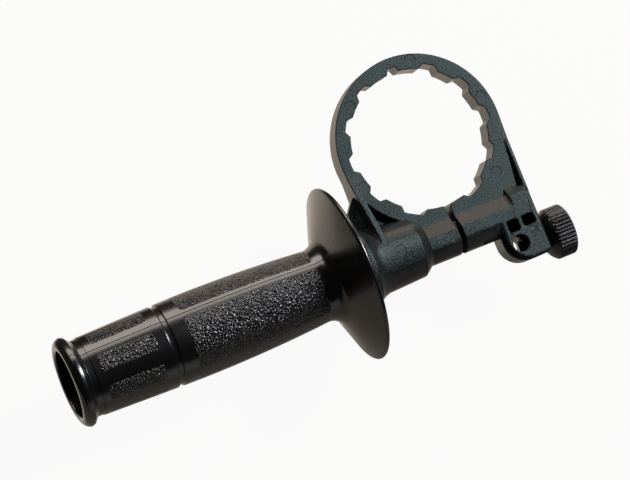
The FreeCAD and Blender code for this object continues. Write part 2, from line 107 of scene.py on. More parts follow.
def tidyMesh(piece):
    openMesh(piece)
    bpy.ops.mesh.remove_doubles(threshold=0.000004)
    bpy.ops.mesh.normals_make_consistent(inside=False)
    closeMesh()


def arcThrough(a, b, c, steps):
    # points on the arc from a through b to c, without a itself
    d = 2 * (a[0] * (b[1] - c[1]) + b[0] * (c[1] - a[1]) + c[0] * (a[1] - b[1]))
    a2, b2, c2 = (p[0] ** 2 + p[1] ** 2 for p in (a, b, c))
    ux = (a2 * (b[1] - c[1]) + b2 * (c[1] - a[1]) + c2 * (a[1] - b[1])) / d
    uy = (a2 * (c[0] - b[0]) + b2 * (a[0] - c[0]) + c2 * (b[0] - a[0])) / d
    start, middle, end = (atan2(p[1] - uy, p[0] - ux) for p in (a, b, c))
    turn = (end - start) % (2 * pi)
    if (middle - start) % (2 * pi) > turn:
        turn -= 2 * pi
    r = hypot(a[0] - ux, a[1] - uy)
    return [(ux + r * cos(start + turn * k / steps), uy + r * sin(start + turn * k / steps))
            for k in range(1, steps + 1)]


def drawLine(name, points, centreY):
    # one point, then extruded along the outline; points are (x, radius) in mm
    letGo()
    x, r = points[0]
    bpy.ops.mesh.primitive_plane_add(size=mm, location=(x * mm, (centreY + r) * mm, 0))
    piece = bpy.context.object
    piece.name = name
    bpy.ops.object.transform_apply(location=True, rotation=True, scale=True)
    openMesh(piece)
    bpy.ops.mesh.merge(type='CENTER')
    for (x0, r0), (x1, r1) in zip(points, points[1:]):
        step = ((x1 - x0) * mm, (r1 - r0) * mm, 0)
        bpy.ops.mesh.extrude_region_move(TRANSFORM_OT_translate={"value": step})
    return piece


def turnSolid(name, points, centreY, steps):
    # an outline turned right round the X direction at height centreY
    piece = drawLine(name, points, centreY)
    bpy.ops.mesh.select_all(action='SELECT')
    bpy.ops.mesh.spin(steps=steps, angle=2 * pi, center=(0, centreY * mm, 0), axis=(1, 0, 0))
    closeMesh()
    tidyMesh(piece)
    return piece


def copyOfNode(node, name, flatWithin=0):
    pick(frame["nodes"][node])
    bpy.ops.object.duplicate()
    piece = bpy.context.object
    piece.name = name
    piece.parent = None
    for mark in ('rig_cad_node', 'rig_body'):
        if mark in piece:
            del piece[mark]
    openMesh(piece)
    bpy.ops.mesh.remove_doubles(threshold=0.000002)
    if flatWithin:  # its flat places are laid out again in even triangles, so a bevel runs cleanly
        bpy.ops.mesh.dissolve_limited(angle_limit=radians(flatWithin), delimit=set())
        bpy.ops.mesh.quads_convert_to_tris(quad_method='BEAUTY', ngon_method='BEAUTY')
    bpy.ops.mesh.normals_make_consistent(inside=False)
    closeMesh()
    return piece


def toLinear(hexCode):
    values = [int(hexCode[k:k + 2], 16) / 255 for k in (0, 2, 4)]
    return (*[v / 12.92 if v <= 0.04045 else ((v + 0.055) / 1.055) ** 2.4 for v in values], 1.0)


def addNode(tree, kind, inputs=None, **settings):
    # inputs are {socket: a value, or another node's output}
    node = tree.nodes.new('ShaderNode' + kind)
    node.location = (220 * (len(tree.nodes) % 12), -260 * (len(tree.nodes) // 12))
    for name, value in settings.items():
        setattr(node, name, value)
    for socket, value in (inputs or {}).items():
        if isinstance(value, bpy.types.NodeSocket):
            tree.links.new(value, node.inputs[socket])
        else:
            node.inputs[socket].default_value = value
    return node


def newMaterial(name):
    material = bpy.data.materials.new(name)
    material.use_nodes = True
    material.node_tree.nodes.clear()
    return material, material.node_tree


def dress(piece, material):
    piece.data.materials.clear()
    piece.data.materials.append(material)


# camera: a long lens almost over the part, at the photograph's angle
view = {
    'place': (-0.35444, -0.07343, 1.1082),  # m
    'turn': (8.1859, -13.0497, -22.7592),  # degrees
    'lens': 167.24,  # mm, on the sensor width below
    'sensor': 36,
    'reach': 20,  # m
}
letGo()
bpy.ops.object.camera_add(location=view['place'], rotation=[radians(a) for a in view['turn']])
camera = bpy.context.object
camera.name = 'photoCamera'
camera.data.lens = view['lens']
camera.data.sensor_width = view['sensor']
camera.data.clip_end = view['reach']
bpy.context.scene.camera = camera
bpy.context.scene.view_settings.view_transform = 'Standard'
print('camera set')

# stage: white sweep paper under the part. What the part mirrors of it carries painted shade for the part's shadow:
# brightest under the ring and the guard, a quarter as bright on the near side and dark beyond the grip
stage = {
    'floorSize': 5.0,  # m, as all lengths of the stage
    'floorGap': 0.0002,  # below the grip
    'floorColour': 'B9AD9F',
    'floorShine': 'FFF1E0',  # the paper as the part mirrors it
    'nearLevel': 0.26,
    'nearY': (-0.075, -0.040),
    'farLevel': 0.05,
    'farY': (0.004, 0.022),
    'farLean': 0.35,  # the dark side's edge runs aslant and crosses farY at farPivotX
    'farPivotX': -0.11,
    'airColour': 'D6DEE8',
    'airStrength': 0.025,
    'whiteShare': 0.94,  # the rest of the floor is lit by the lamps and keeps the part's shadow
    'lampAim': (-0.05, -0.02, 0),
}
letGo()
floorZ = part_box('grip')[0][2] - stage['floorGap']
bpy.ops.mesh.primitive_plane_add(size=stage['floorSize'], location=(0, 0, floorZ))
floor = bpy.context.object
floor.name = 'sweepPaper'
settle(floor)

# matt under the lamps, plain light to the camera, and painted shade in what mirrors it
paper, tree = newMaterial('matt white sweep paper')
seen = addNode(tree, 'LightPath')
spot = addNode(tree, 'SeparateXYZ', {0: addNode(tree, 'TexCoord').outputs['Object']})
# painted shade: the paper's brightness in the part's mirror falls off on the near side and beyond the grip, for the
# part's shadow
near = addNode(tree, 'MapRange', {'Value': spot.outputs[1], 1: stage['nearY'][0], 2: stage['nearY'][1],
                                  3: stage['nearLevel'], 4: 1.0}, interpolation_type='SMOOTHSTEP')
lean = addNode(tree, 'Math', {0: spot.outputs[0], 1: -stage['farLean'], 2: stage['farPivotX'] * stage['farLean']},
               operation='MULTIPLY_ADD')
beyond = addNode(tree, 'Math', {0: spot.outputs[1], 1: lean.outputs[0]}, operation='ADD')
far = addNode(tree, 'MapRange', {'Value': beyond.outputs[0], 1: stage['farY'][0], 2: stage['farY'][1],
                                 3: 1.0, 4: stage['farLevel']}, interpolation_type='SMOOTHSTEP')
mirroredShade = addNode(tree, 'Math', {0: near.outputs[0], 1: far.outputs[0]}, operation='MULTIPLY')
level = addNode(tree, 'Mix', {0: seen.outputs['Is Camera Ray'], 2: mirroredShade.outputs[0], 3: 1.0}, data_type='FLOAT')
direct = addNode(tree, 'Math', {0: seen.outputs['Is Camera Ray'], 1: stage['whiteShare']}, operation='MULTIPLY')
share = addNode(tree, 'Math', {0: direct.outputs[0], 1: seen.outputs['Is Glossy Ray']}, operation='MAXIMUM')
shine = addNode(tree, 'Mix', {0: seen.outputs['Is Camera Ray'], 6: toLinear(stage['floorShine']),
                              7: (1, 1, 1, 1)}, data_type='RGBA')
matt = addNode(tree, 'BsdfDiffuse', {'Color': toLinear(stage['floorColour'])})
white = addNode(tree, 'Emission', {'Color': shine.outputs[2], 'Strength': level.outputs[0]})
both = addNode(tree, 'MixShader', {0: share.outputs[0], 1: matt.outputs[0], 2: white.outputs[0]})
addNode(tree, 'OutputMaterial', {'Surface': both.outputs[0]})
dress(floor, paper)

air = bpy.data.worlds.new('studioAir')
bpy.context.scene.world = air
air.use_nodes = True
tree = air.node_tree
tree.nodes.clear()
seen = addNode(tree, 'LightPath')
soft = addNode(tree, 'Background', {'Color': toLinear(stage['airColour']), 'Strength': stage['airStrength']})
clear = addNode(tree, 'Background', {'Color': (1, 1, 1, 1), 'Strength': 1.0})
both = addNode(tree, 'MixShader', {0: seen.outputs['Is Camera Ray'], 1: soft.outputs[0], 2: clear.outputs[0]})
addNode(tree, 'OutputWorld', {'Surface': both.outputs[0]})

# lamps: a key lamp off to the knob's side, a lit wall beyond the ring and a pale card on the near side;
# places and sizes in m, power in W
lamps = {
    'keyLamp': {'place': (0.93, 0.40, 1.11), 'size': (0.32, 0.50), 'power': 31.0, 'colour': 'F1F6FF'},
    'farWall': {'place': (-0.05, 1.70, 0.52), 'size': (2.4, 1.1), 'power': 35.0, 'colour': 'FFF4EA'},
    'nearCard': {'place': (-0.05, -1.60, 0.24), 'size': (2.4, 0.8), 'power': 2.4, 'colour': 'F4F6F2'},
}
for name, lamp in lamps.items():
    letGo()
    bpy.ops.object.light_add(type='AREA', location=lamp['place'])
    light = bpy.context.object
    light.name = name
    light.data.shape = 'RECTANGLE'
    light.data.size, light.data.size_y = lamp['size']
    light.data.energy = lamp['power']
    light.data.color = toLinear(lamp['colour'])[:3]
    toPart = Vector(stage['lampAim']) - light.location
    light.rotation_euler = toPart.to_track_quat('-Z', 'Y').to_euler()
print('stage and lamps set')

# collar moulding: glass-filled nylon, injection moulded against a spark-eroded tool. The fibres
# at the skin give a dull sheen and a fine light speckle; the eye reads it as blue-grey
nylon = {
    'dark': '0B0F0F',
    'light': '161B1B',
    'fleck': '4F5958',
    # colour of the painted shade on the edge lines and in the slit
    'paintedShade': '080A0A',
    'sheen': '97A4A1',
    'drawnSheen': '978D83',
    'fibre': 0.50,  # mm, the size a fleck has to be to show here; a real fibre is a quarter of it
    'fleckRange': (0.46, 0.67),
    'drawnFleck': 0.3,
    'cloudScale': 55.0,  # per metre
    'cloudRange': (0.35, 0.65),
    'roughness': 0.46,
    'roughnessSpread': (-0.07, 0.10),
    'drawnRoughness': 0.30,
    'slitRoughness': 0.90,
    'ior': 1.56,
    'grain': 0.07,  # mm, as every length below
    'etched': 0.9,  # how much of the grain the two kinds of skin show
    'drawnEtched': 0.2,
    'ejectorR': 2.30,
    'ejectorGap': 0.34,
    'ejectorDepth': 0.24,
    'clockHub': (0.6, 0.9),
    'seamW': 0.16,
    'lineHeight': 0.10,
    # how far the edges are rounded in shading, and the part of that rounding that gets painted shade
    'bevelRadius': 0.80,
    'edgeShadeRange': (0.98, 0.80),
    'polishedBelow': (0.955, 0.87),  # how far up a face has to look to be etched
    'footX': (8.0, 9.0),  # where the block's wall begins along each axis
    'footY': (-46.5, -48.5),
    'footZ': (0.8, 3.6),
    'footLean': 1.0,
    'slitHalf': (1.0, 1.25),
    'slitY': (-30.5, -32.5),
    'edge': 0.22,  # how far the moulding's edges are broken
    'edgeAngle': 32,  # degrees
    'smoothAngle': 34,
    'ejectors': ((8.6, 30.8), (-21.8, 21.9), (-28.9, -9.7), (30.3, 7.2), (24.2, -23.2), (-27.0, -38.5),
                 (-3.9, -40.7)),
    'dateClock': (27.6, -50.2),
}
glassNylon, tree = newMaterial('glass-filled nylon, moulded')
place = addNode(tree, 'TexCoord').outputs['Object']
parts = addNode(tree, 'SeparateXYZ', {0: place})
flat = addNode(tree, 'CombineXYZ', {0: parts.outputs[0], 1: parts.outputs[1]}).outputs[0]
flecks = addNode(tree, 'TexNoise', {'Vector': place, 'Scale': 1 / (nylon['fibre'] * mm), 'Detail': 3.0,
                                    'Roughness': 0.72})
cloud = addNode(tree, 'TexNoise', {'Vector': place, 'Scale': nylon['cloudScale'], 'Detail': 2.0})
fleckShare = addNode(tree, 'MapRange', {'Value': flecks.outputs['Fac'], 1: nylon['fleckRange'][0],
                                        2: nylon['fleckRange'][1]})
tone = addNode(tree, 'MapRange', {'Value': cloud.outputs['Fac'], 1: nylon['cloudRange'][0],
                                  2: nylon['cloudRange'][1]})
ground = addNode(tree, 'Mix', {0: tone.outputs[0], 6: toLinear(nylon['dark']), 7: toLinear(nylon['light'])},
                 data_type='RGBA')
dullness = addNode(tree, 'MapRange', {'Value': flecks.outputs['Fac'], 1: noiseLow, 2: noiseHigh,
                                      3: nylon['roughness'] + nylon['roughnessSpread'][0],
                                      4: nylon['roughness'] + nylon['roughnessSpread'][1]})
height = addNode(tree, 'Math', {0: flecks.outputs['Fac'], 1: nylon['grain']}, operation='MULTIPLY').outputs[0]
for x, y in nylon['ejectors'] + (nylon['dateClock'],):
    # each ejector pin leaves a disc a hair below the skin, with a fine ring round it
    away = addNode(tree, 'VectorMath', {0: flat, 1: (x * mm, y * mm, 0)}, operation='DISTANCE').outputs['Value']
    disc = addNode(tree, 'MapRange', {'Value': away, 1: (nylon['ejectorR'] - nylon['ejectorGap']) * mm,
                                      2: nylon['ejectorR'] * mm, 3: 0.0, 4: nylon['ejectorDepth']},
                   interpolation_type='SMOOTHSTEP')
    height = addNode(tree, 'Math', {0: height, 1: disc.outputs[0]}, operation='ADD').outputs[0]
# the disc on the block also has a small raised hub
fromHub = addNode(tree, 'VectorMath', {0: flat, 1: (nylon['dateClock'][0] * mm, nylon['dateClock'][1] * mm, 0)},
                  operation='DISTANCE').outputs['Value']
hub = addNode(tree, 'MapRange', {'Value': fromHub, 1: nylon['clockHub'][0] * mm, 2: nylon['clockHub'][1] * mm,
                                 3: nylon['lineHeight'], 4: 0.0}, interpolation_type='SMOOTHSTEP')
height = addNode(tree, 'Math', {0: height, 1: hub.outputs[0]}, operation='ADD').outputs[0]
# the witness line of the two tool halves, at mid height
offMid = addNode(tree, 'Math', {0: parts.outputs[2]}, operation='ABSOLUTE').outputs[0]
toolLine = addNode(tree, 'MapRange', {'Value': offMid, 1: nylon['seamW'] * mm / 2, 2: nylon['seamW'] * mm,
                                      3: nylon['lineHeight'], 4: 0.0}, interpolation_type='SMOOTHSTEP')
height = addNode(tree, 'Math', {0: height, 1: toolLine.outputs[0]}, operation='ADD').outputs[0]
rounded = addNode(tree, 'Bevel', {'Radius': nylon['bevelRadius'] * mm}, samples=6).outputs[0]
flatSide = addNode(tree, 'NewGeometry').outputs['True Normal']
# only the level faces are etched; slopes and the walls along the tool's draw are polished
upness = addNode(tree, 'Math', {0: addNode(tree, 'SeparateXYZ', {0: flatSide}).outputs[2]}, operation='ABSOLUTE')
drawn = addNode(tree, 'MapRange', {'Value': upness.outputs[0], 1: nylon['polishedBelow'][0],
                                   2: nylon['polishedBelow'][1]}).outputs[0]
# the upper half of the block's wall is shaded as if it leaned in, so it mirrors the dark room; its sheen is also
# darkened there, as painted shade
lowDown = addNode(tree, 'MapRange', {'Value': parts.outputs[1], 1: nylon['footY'][0] * mm,
                                     2: nylon['footY'][1] * mm}).outputs[0]
upperHalf = addNode(tree, 'MapRange', {'Value': parts.outputs[2], 1: nylon['footZ'][0] * mm,
                                       2: nylon['footZ'][1] * mm}).outputs[0]
onBlock = addNode(tree, 'MapRange', {'Value': parts.outputs[0], 1: nylon['footX'][0] * mm,
                                     2: nylon['footX'][1] * mm}).outputs[0]
footWall = addNode(tree, 'Math', {0: lowDown, 1: upperHalf}, operation='MULTIPLY').outputs[0]
footWall = addNode(tree, 'Math', {0: footWall, 1: onBlock}, operation='MULTIPLY').outputs[0]
footWall = addNode(tree, 'Math', {0: footWall, 1: drawn}, operation='MULTIPLY').outputs[0]
leanUp = addNode(tree, 'CombineXYZ', {2: footWall}).outputs[0]
leaning = addNode(tree, 'VectorMath', {0: leanUp, 1: [nylon['footLean']] * 3, 2: rounded},
                  operation='MULTIPLY_ADD').outputs[0]
leaning = addNode(tree, 'VectorMath', {0: leaning}, operation='NORMALIZE').outputs[0]
dullness = addNode(tree, 'Mix', {0: drawn, 2: dullness.outputs[0], 3: nylon['drawnRoughness']}, data_type='FLOAT')
# the thin blade of steel that leaves the slit can't be polished, so the slit stays dull; its colour and sheen are
# darkened with painted shade, as light hardly reaches into it
offSlit = addNode(tree, 'Math', {0: parts.outputs[0]}, operation='ABSOLUTE').outputs[0]
nearSlit = addNode(tree, 'MapRange', {'Value': offSlit, 1: nylon['slitHalf'][0] * mm,
                                      2: nylon['slitHalf'][1] * mm, 3: 1.0, 4: 0.0}).outputs[0]
belowBore = addNode(tree, 'MapRange', {'Value': parts.outputs[1], 1: nylon['slitY'][0] * mm,
                                       2: nylon['slitY'][1] * mm}).outputs[0]
inSlit = addNode(tree, 'Math', {0: nearSlit, 1: belowBore}, operation='MULTIPLY').outputs[0]
dullness = addNode(tree, 'Mix', {0: inSlit, 2: dullness.outputs[0], 3: nylon['slitRoughness']}, data_type='FLOAT')
# painted shade along the edges: their colour and sheen go dark, so they read as a thin dark line
match = addNode(tree, 'VectorMath', {0: rounded, 1: flatSide}, operation='DOT_PRODUCT').outputs['Value']
paintedShade = addNode(tree, 'MapRange', {'Value': match, 1: nylon['edgeShadeRange'][0],
                                    2: nylon['edgeShadeRange'][1]}).outputs[0]
flecked = addNode(tree, 'MapRange', {'Value': drawn, 3: 1.0, 4: nylon['drawnFleck']}).outputs[0]
fleckHere = addNode(tree, 'Math', {0: fleckShare.outputs[0], 1: flecked}, operation='MULTIPLY').outputs[0]
skin = addNode(tree, 'Mix', {0: fleckHere, 6: ground.outputs[2], 7: toLinear(nylon['fleck'])}, data_type='RGBA')
skin = addNode(tree, 'Mix', {0: paintedShade, 6: skin.outputs[2], 7: toLinear(nylon['paintedShade'])}, data_type='RGBA')
skin = addNode(tree, 'Mix', {0: inSlit, 6: skin.outputs[2], 7: toLinear(nylon['paintedShade'])}, data_type='RGBA')
sheen = addNode(tree, 'Mix', {0: drawn, 6: toLinear(nylon['sheen']), 7: toLinear(nylon['drawnSheen'])},
                data_type='RGBA')
# painted shade: the sheen goes dark on the edge lines, in the slit and on the upper half of the block's wall
darkened = addNode(tree, 'Math', {0: paintedShade, 1: inSlit}, operation='MAXIMUM').outputs[0]
darkened = addNode(tree, 'Math', {0: darkened, 1: footWall}, operation='MAXIMUM').outputs[0]
sheen = addNode(tree, 'Mix', {0: darkened, 6: sheen.outputs[2], 7: toLinear(nylon['dark'])}, data_type='RGBA')
etchedDepth = addNode(tree, 'MapRange', {'Value': drawn, 3: nylon['etched'], 4: nylon['drawnEtched']}).outputs[0]
relief = addNode(tree, 'Bump', {'Height': height, 'Distance': mm, 'Strength': etchedDepth, 'Normal': leaning})
body = addNode(tree, 'BsdfPrincipled', {'Base Color': skin.outputs[2], 'Roughness': dullness.outputs[0],
                                        'IOR': nylon['ior'], 'Specular Tint': sheen.outputs[2],
                                        'Normal': relief.outputs[0]})
addNode(tree, 'OutputMaterial', {'Surface': body.outputs[0]})

collar = copyOfNode('collar', 'collarMoulding')
finishWith(collar, 'BEVEL', limit_method='ANGLE', angle_limit=radians(nylon['edgeAngle']),
           width=nylon['edge'] * mm, segments=3, use_clamp_overlap=False, miter_outer='MITER_ARC')
settle(collar, nylon['smoothAngle'])
finishWith(collar, 'WEIGHTED_NORMAL', keep_sharp=True)
dress(collar, glassNylon)
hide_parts('collar')
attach(collar, 'collar')
print('collar moulding done', len(collar.data.polygons))

# grip: black polypropylene, one hollow moulding turned from its outline
grip = {  # mm and degrees
    'end': -166.6, 'mouthR': 13.6, 'mouthIn': 0.8, 'mouthOut': 1.2, 'beadR': 18.2, 'beadLen': 6.2,
    'beadFace': 2.6, 'beadRound': (0.9, 1.1), 'beadFall': 0.35, 'neckR': 15.5, 'neckLen': 2.5, 'neckSag': 0.5,
    'shortR': (15.85, 16.65), 'shortLen': 31.4, 'grooveW': 1.7, 'lipRound': 0.75,
    'longR': (16.75, 16.6, 14.85), 'longLen': 62.6, 'flare': 1.15,
    'guardR': 35.8, 'guardX': -48.0, 'guardEdge': 1.5, 'guardRootR': 19.0, 'guardDish': 7.1, 'guardT': 2.4,
    'guardRound': 1.0, 'guardLand': 0.6, 'hubR': 13.4, 'hubX': -43.1, 'hubEdge': 0.8, 'hubFillet': 3.2,
    'hubFoot': 2.6, 'hubRound': (0.35, 0.9), 'cavityFloor': -77.1, 'cavityRound': 1.5, 'cavityTaper': 1.4,
    'boreR': 4.05,
    'pocketHalf': 6.62, 'pocketX': -70.0, 'pocketDepth': 9.0, 'edge': 0.2, 'edgeAngle': 38, 'smoothAngle': 32,
    'steps': 256,
}
neckX = grip['end'] + grip['beadLen']
shortX = neckX + grip['neckLen']
grooveX = shortX + grip['shortLen']
longX = grooveX + grip['grooveW']
rootX = longX + grip['longLen']
trumpetX = grip['guardX'] - grip['guardDish']
guardSpan = grip['guardR'] - grip['guardRootR']
footX = trumpetX + grip['guardT'] * 0.9
cavityR = grip['mouthR'] - grip['cavityTaper']
end, bead, beadLen, rim = grip['end'], grip['beadR'], grip['beadLen'], grip['guardRound']
edgeX = grip['guardX'] + grip['guardEdge']
# the outline runs from the mouth along the outside to the guard, down its front to the hub and back
# through the bore and the cavity; each arc's middle point sets how full it is
outline = [(end + grip['mouthIn'], grip['mouthR'])]
outline += arcThrough(outline[-1], (end + grip['mouthIn'] * 0.25, grip['mouthR'] + grip['mouthOut'] * 0.35),
                      (end, grip['mouthR'] + grip['mouthOut']), 5)
outline += [(end, bead - grip['beadFace'])]
outline += arcThrough(outline[-1], (end + grip['beadRound'][0], bead - grip['beadRound'][1]),
                      (end + beadLen * 0.47, bead), 10)
outline += [(end + beadLen * 0.66, bead - grip['beadFall'])]
outline += arcThrough(outline[-1], (end + beadLen * 0.86, (bead + grip['neckR']) / 2 - grip['neckSag']),
                      (neckX, grip['neckR']), 8)
lip = grip['lipRound']
outline += [(shortX, grip['neckR']), (shortX + lip * 0.12, grip['shortR'][0] - lip * 0.12)]
outline += [(shortX + lip * 0.6, grip['shortR'][0]), (grooveX - lip, grip['shortR'][1])]
outline += arcThrough(outline[-1], (grooveX - lip * 0.29, grip['shortR'][1] - lip * 0.29),
                      (grooveX, grip['shortR'][1] - lip), 6)
outline += [(longX, grip['longR'][0] - lip)]
outline += arcThrough(outline[-1], (longX + lip * 0.29, grip['longR'][0] - lip * 0.29),
                      (longX + lip, grip['longR'][0]), 6)
outline += arcThrough(outline[-1], (longX + grip['longLen'] / 2, grip['longR'][1]),
                      (rootX, grip['longR'][2]), 24)
outline += arcThrough(outline[-1], (rootX + (trumpetX - rootX) * 0.66, grip['longR'][2] + grip['flare']),
                      (trumpetX, grip['guardRootR']), 12)
outline += arcThrough(outline[-1], (grip['guardX'] - grip['guardDish'] * 0.59,
                                    grip['guardRootR'] + guardSpan * 0.4),
                      (grip['guardX'], grip['guardR'] - rim * 0.4), 16)
outline += [(grip['guardX'] + rim * 0.4, grip['guardR']), (edgeX - rim * 0.7, grip['guardR'])]
outline += arcThrough(outline[-1], (edgeX - rim * 0.2, grip['guardR'] - rim * 0.25),
                      (edgeX, grip['guardR'] - rim), 8)
outline += [(edgeX, grip['guardR'] - rim - grip['guardLand'])]
outline += arcThrough(outline[-1], (grip['guardX'] - grip['guardDish'] * 0.625 + grip['guardT'],
                                    grip['guardRootR'] + guardSpan * 0.36),
                      (footX, grip['hubR'] + grip['hubFillet']), 14)
outline += arcThrough(outline[-1], (footX + grip['hubRound'][0], grip['hubR'] + grip['hubRound'][1]),
                      (footX + grip['hubFoot'], grip['hubR']), 6)
outline += [(grip['hubX'] - grip['hubEdge'], grip['hubR']), (grip['hubX'], grip['hubR'] - grip['hubEdge']),
            (grip['hubX'], grip['boreR'])]
deepX, corner = grip['cavityFloor'], grip['cavityRound']
outline += [(deepX, grip['boreR']), (deepX, cavityR - corner)]
outline += arcThrough(outline[-1], (deepX - corner * 0.3, cavityR - corner * 0.3), (deepX - corner, cavityR), 4)
outline += [outline[0]]
gripBody = turnSolid('gripMoulding', outline, axisY, grip['steps'])

letGo()  # hexagon pocket that keeps the clamp screw's head from turning
bpy.ops.mesh.primitive_cylinder_add(vertices=6, radius=grip['pocketHalf'] / cos(radians(30)) * mm,
                                    depth=grip['pocketDepth'] * mm, rotation=(0, radians(90), 0),
                                    location=((grip['pocketX'] - grip['pocketDepth'] / 2) * mm, axisY * mm, 0))
cutter = bpy.context.object
bpy.ops.object.transform_apply(location=True, rotation=True, scale=True)
finishWith(gripBody, 'BOOLEAN', operation='DIFFERENCE', solver='EXACT', object=cutter)
bpy.data.objects.remove(cutter)
finishWith(gripBody, 'BEVEL', limit_method='ANGLE', angle_limit=radians(grip['edgeAngle']),
           width=grip['edge'] * mm, segments=2)
settle(gripBody, grip['smoothAngle'])
finishWith(gripBody, 'WEIGHTED_NORMAL', keep_sharp=True)
print('grip turned', len(gripBody.data.polygons))

# its finish: black, half gloss from a polished tool, with etched grain only inside the panels, and
# the fine witness line of the two tool halves
poly = {
    'black': '060606',
    'worn': '0D0C0C',
    'wornScale': 40.0,  # per metre
    'wornRange': (0.4, 0.7),
    'ior': 1.72,  # the plastic's own is 1.50; this matches how strongly the handle mirrors the paper
    'panelSheen': 'BEBEBE',
    'roughness': 0.20,
    'wornRoughness': 0.06,  # added where hands have dulled it
    'panelRoughness': 0.27,
    'grainSize': 0.90,  # mm, as every length below. The real etching is finer; drawn so that it shows
    'grainStray': 0.32,
    'grainSmooth': 0.35,
    'grainDepth': 0.54,
    'glint': '403D3B',
    'glintSize': 0.50,
    'glintRange': (0.52, 0.66),
    'panelSink': 0.20,
    'panelEdge': 0.45,
    'skinR': (14.2, 14.4),  # nothing inside this radius is etched
    'parting': 32.0,  # degrees from +Z toward +Y
    'partingW': 0.20,
    'partingDepth': 0.12,
    'rippleScale': 900.0,  # per metre
    'ripple': 0.005,
}
# short panels behind the bead and long ones in the palm, in mm and degrees round the grip; grain is
# the share of the grain's depth that they show
panels = (
    {'count': 8, 'x': -143.25, 'halfX': 11.75, 'halfW': 3.55, 'radius': 16.25, 'corner': 1.5, 'phase': 9.5,
     'grain': 1.35},
    {'count': 4, 'x': -89.95, 'halfX': 28.55, 'halfW': 11.0, 'radius': 16.2, 'corner': 2.2, 'phase': -14.5,
     'grain': 1.0},
)
blackPoly, tree = newMaterial('black polypropylene, moulded')
place = addNode(tree, 'TexCoord').outputs['Object']
parts = addNode(tree, 'SeparateXYZ', {0: place})
up = addNode(tree, 'Math', {0: parts.outputs[1], 1: -axisY * mm}, operation='ADD').outputs[0]
angle = addNode(tree, 'Math', {0: up, 1: parts.outputs[2]}, operation='ARCTAN2').outputs[0]
across = addNode(tree, 'CombineXYZ', {0: up, 1: parts.outputs[2]}).outputs[0]
radius = addNode(tree, 'VectorMath', {0: across}, operation='LENGTH').outputs['Value']
panelMask = grainMask = None
for panel in panels:
    # distance into a rounded rectangle laid round the grip, mm in x and along the arc
    half = pi / panel['count']
    offset = addNode(tree, 'Math', {0: angle, 1: radians(panel['phase'])}, operation='SUBTRACT').outputs[0]
    turned = addNode(tree, 'Math', {0: offset, 1: half, 2: -half}, operation='WRAP').outputs[0]
    alongX = addNode(tree, 'Math', {0: parts.outputs[0], 1: 1 / mm, 2: -panel['x']},
                     operation='MULTIPLY_ADD').outputs[0]
    arc = addNode(tree, 'Math', {0: turned, 1: panel['radius']}, operation='MULTIPLY').outputs[0]
    sized = addNode(tree, 'CombineXYZ', {0: alongX, 1: arc}).outputs[0]
    folded = addNode(tree, 'VectorMath', {0: sized}, operation='ABSOLUTE').outputs[0]
    inset = (panel['halfX'] - panel['corner'], panel['halfW'] - panel['corner'], 0)
    past = addNode(tree, 'VectorMath', {0: folded, 1: inset}, operation='SUBTRACT').outputs[0]
    outside = addNode(tree, 'VectorMath', {0: past, 1: (0, 0, 0)}, operation='MAXIMUM').outputs[0]
    reach = addNode(tree, 'VectorMath', {0: outside}, operation='LENGTH').outputs['Value']
    inside = addNode(tree, 'MapRange', {'Value': reach, 1: panel['corner'], 2: panel['corner'] - poly['panelEdge']},
                     interpolation_type='SMOOTHSTEP').outputs[0]
    grained = addNode(tree, 'Math', {0: inside, 1: panel['grain']}, operation='MULTIPLY').outputs[0]
    if panelMask:
        inside = addNode(tree, 'Math', {0: panelMask, 1: inside}, operation='MAXIMUM').outputs[0]
        grained = addNode(tree, 'Math', {0: grainMask, 1: grained}, operation='MAXIMUM').outputs[0]
    panelMask, grainMask = inside, grained
onSkin = addNode(tree, 'MapRange', {'Value': radius, 1: poly['skinR'][0] * mm, 2: poly['skinR'][1] * mm}).outputs[0]
panelMask = addNode(tree, 'Math', {0: panelMask, 1: onSkin}, operation='MULTIPLY').outputs[0]
grainMask = addNode(tree, 'Math', {0: grainMask, 1: onSkin}, operation='MULTIPLY').outputs[0]

# grain: round pebbles with valleys between them, on places that a noise has pushed about
grainScale = 1 / (poly['grainSize'] * mm)
wander = addNode(tree, 'TexNoise', {'Vector': place, 'Scale': grainScale, 'Detail': 1.0})
strayed = addNode(tree, 'VectorMath', {0: wander.outputs['Color'], 1: [poly['grainStray'] * mm] * 3, 2: place},
                  operation='MULTIPLY_ADD').outputs[0]
pebbles = addNode(tree, 'TexVoronoi', {'Vector': strayed, 'Scale': grainScale, 'Smoothness': poly['grainSmooth']},
                  feature='SMOOTH_F1')
etchedHere = addNode(tree, 'Math', {0: pebbles.outputs['Distance'], 1: grainMask}, operation='MULTIPLY').outputs[0]
etchedDeep = addNode(tree, 'Math', {0: etchedHere, 1: poly['grainDepth']}, operation='MULTIPLY').outputs[0]
sunk = addNode(tree, 'Math', {0: panelMask, 1: -poly['panelSink'], 2: etchedDeep},
               operation='MULTIPLY_ADD').outputs[0]
fromSeam = addNode(tree, 'Math', {0: angle, 1: radians(poly['parting'])}, operation='SUBTRACT').outputs[0]
toSeam = addNode(tree, 'Math', {0: fromSeam, 1: pi / 2, 2: -pi / 2}, operation='WRAP').outputs[0]
seamArc = addNode(tree, 'Math', {0: toSeam, 1: radius}, operation='MULTIPLY').outputs[0]
seamFar = addNode(tree, 'Math', {0: seamArc}, operation='ABSOLUTE').outputs[0]
seam = addNode(tree, 'MapRange', {'Value': seamFar, 1: 0.0, 2: poly['partingW'] * mm, 3: -poly['partingDepth'],
                                  4: 0.0}, interpolation_type='SMOOTHSTEP').outputs[0]
ripple = addNode(tree, 'TexNoise', {'Vector': place, 'Scale': poly['rippleScale'], 'Detail': 2.0})
rippled = addNode(tree, 'Math', {0: ripple.outputs['Fac'], 1: poly['ripple'], 2: seam},
                  operation='MULTIPLY_ADD').outputs[0]
